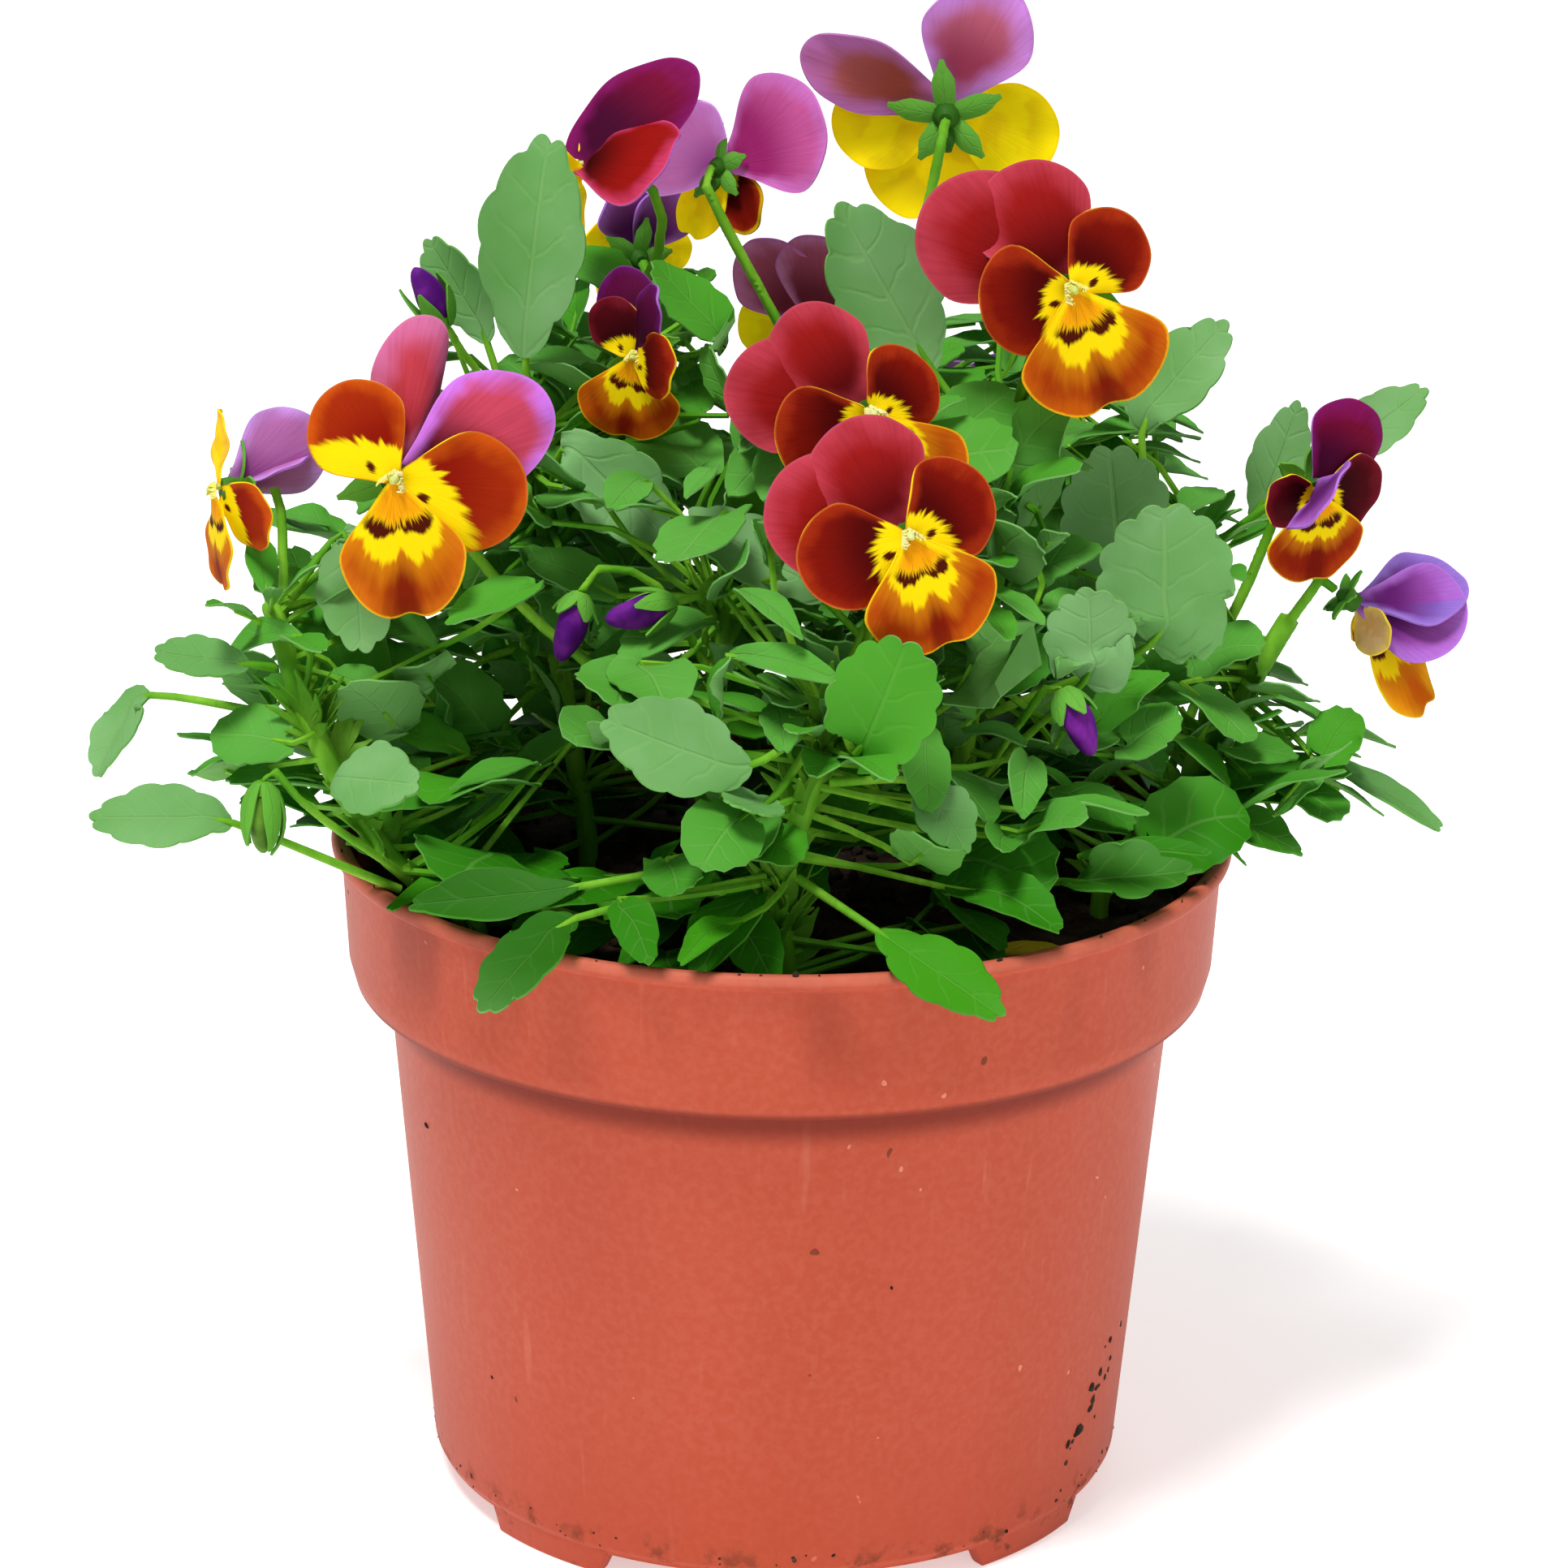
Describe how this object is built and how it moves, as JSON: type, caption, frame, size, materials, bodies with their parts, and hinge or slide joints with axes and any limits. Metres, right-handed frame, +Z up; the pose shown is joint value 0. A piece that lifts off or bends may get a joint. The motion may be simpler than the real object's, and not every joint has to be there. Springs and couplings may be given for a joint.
{
  "type": "potted pansy planter",
  "caption": "Bushy flowering pansy plant growing in a round terracotta-coloured plastic nursery pot with a stepped collar, rolled lip, footed base and soil fill.",
  "frame": {"origin": "on the pot's axis, at the surface the pot's feet stand on, which is the middle of the whole plant in plan", "axes": "+Z up along the pot's axis, which is also the tallest extent; the show side of the plant looks along -Y; +X to the viewer's right"},
  "size_m": [0.1788, 0.1388, 0.2002],
  "materials": {
    "pot": "satin",
    "soil": "matte",
    "shoots": "matte",
    "leaves": "matte",
    "petals": "matte",
    "buds": "matte"
  },
  "bodies": {
    "root": {"pot": "pot", "soil": "soil", "shoot_front": "shoots", "shoot_left": "shoots", "shoot_right": "shoots", "shoot_centre": "shoots", "shoot_tall": "shoots", "shoot_back": "shoots", "shoot_back_left": "shoots", "shoot_back_right": "shoots", "shoot_rear": "shoots", "flower_front": "petals", "flower_middle": "petals", "flower_high_right": "petals", "flower_left": "petals", "flower_far_left": "petals", "flower_small": "petals", "flower_right": "petals", "flower_drooping": "petals", "flower_top": "petals", "flower_top_left": "petals", "flower_behind": "petals", "flower_dark": "petals", "flower_back_left": "petals", "flower_back_right": "petals", "bud_left_centre": "buds", "bud_centre": "buds", "bud_right": "buds", "bud_high_left": "buds", "bud_low_left": "buds", "leaf_big_upright": "leaves", "leaf_upright_left": "leaves", "leaf_upright_centre": "leaves", "leaf_high_right": "leaves", "leaf_far_right": "leaves", "leaf_right_upper": "leaves", "leaf_right_behind": "leaves", "leaf_round_right": "leaves", "leaf_right_centre": "leaves", "leaf_front_left": "leaves", "leaf_front_centre": "leaves", "leaf_front_right": "leaves", "leaf_left_inner": "leaves", "leaf_far_left": "leaves", "leaf_arching_left": "leaves", "leaf_behind_left": "leaves", "leaf_rim_left": "leaves", "leaf_rim_front_left": "leaves", "leaf_rim_front_right": "leaves", "leaf_curly_right": "leaves", "leaf_rim_right": "leaves", "leaf_trailing_right": "leaves", "leaf_upper_left": "leaves", "leaf_centre": "leaves", "leaf_front_inner": "leaves", "leaf_left_upper": "leaves", "leaf_rear_left": "leaves", "leaf_rear_right": "leaves", "leaf_back_right": "leaves", "leaf_back_left": "leaves"}
  },
  "joints": []
}
